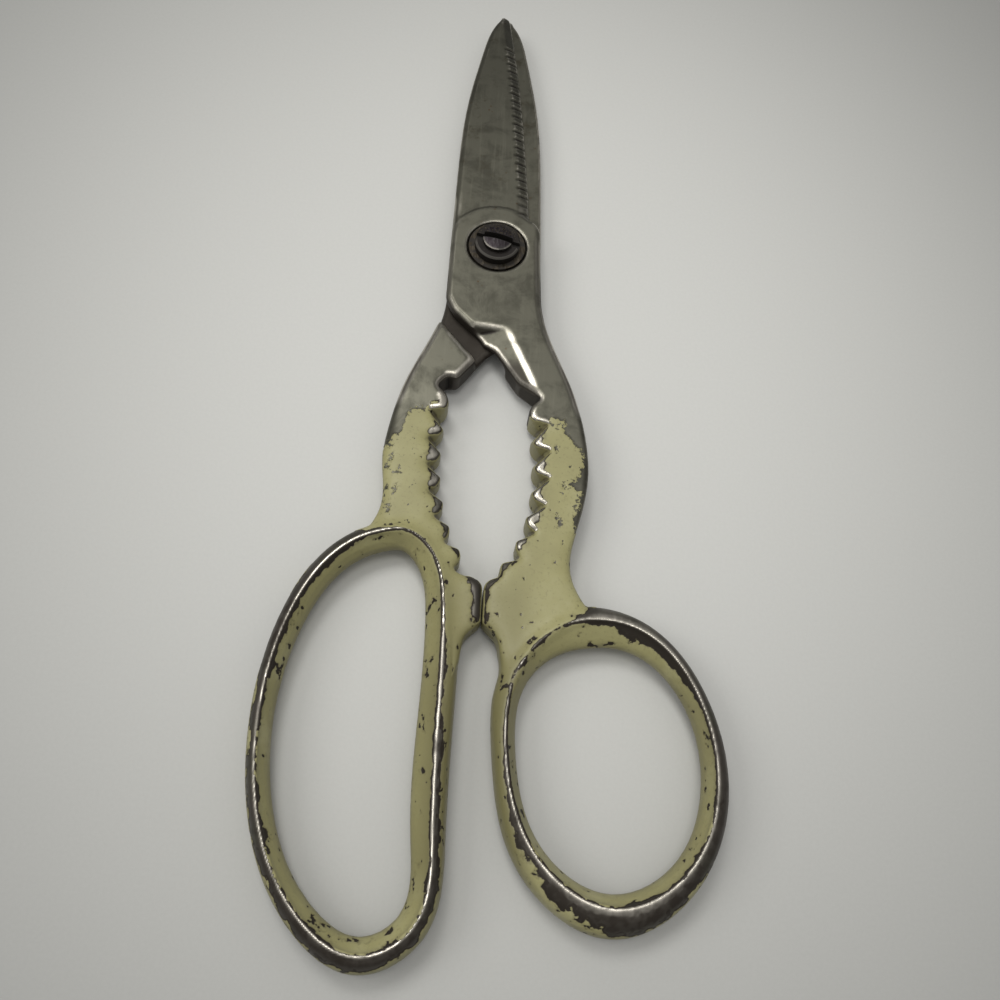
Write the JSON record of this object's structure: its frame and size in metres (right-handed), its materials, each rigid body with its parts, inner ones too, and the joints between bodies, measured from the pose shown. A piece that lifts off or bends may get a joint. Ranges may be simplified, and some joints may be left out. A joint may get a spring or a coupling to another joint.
{
  "type": "kitchen shears",
  "caption": "Forged kitchen shears with a serrated blade, toothed nutcracker jaws, worn enamelled bows and a slotted pivot screw.",
  "frame": {"origin": "on the pivot axis, in the plane of the table that the shears lie on", "axes": "+Y along the pivot's centre line to the blade tips, +X to the thumb bow's side, +Z out of the front face along the pivot axis"},
  "size_m": [0.082, 0.2074, 0.0107],
  "materials": {
    "thumb_half_enamelled_steel": "worn cream enamel on the handle, bare nickelled steel on the blade",
    "finger_half_enamelled_steel": "worn cream enamel on the handle, bare nickelled steel on the blade",
    "screw_steel": "dark and grimy, polished by use on the crown",
    "washer_steel": "dark and grimy",
    "nut_steel": "dull"
  },
  "bodies": {
    "finger_side": {"finger_half": "finger_half_enamelled_steel", "pivot_screw": "screw_steel", "pivot_washer": "washer_steel", "pivot_nut": "nut_steel"},
    "thumb_side": {"thumb_half": "thumb_half_enamelled_steel"}
  },
  "joints": [
    {"name": "blade_pivot", "type": "hinge", "parent": "finger_side", "child": "thumb_side", "pos_m": [0, 0, 0.0043], "axis": [0, 0, 1], "range_deg": [0, 123]}
  ]
}
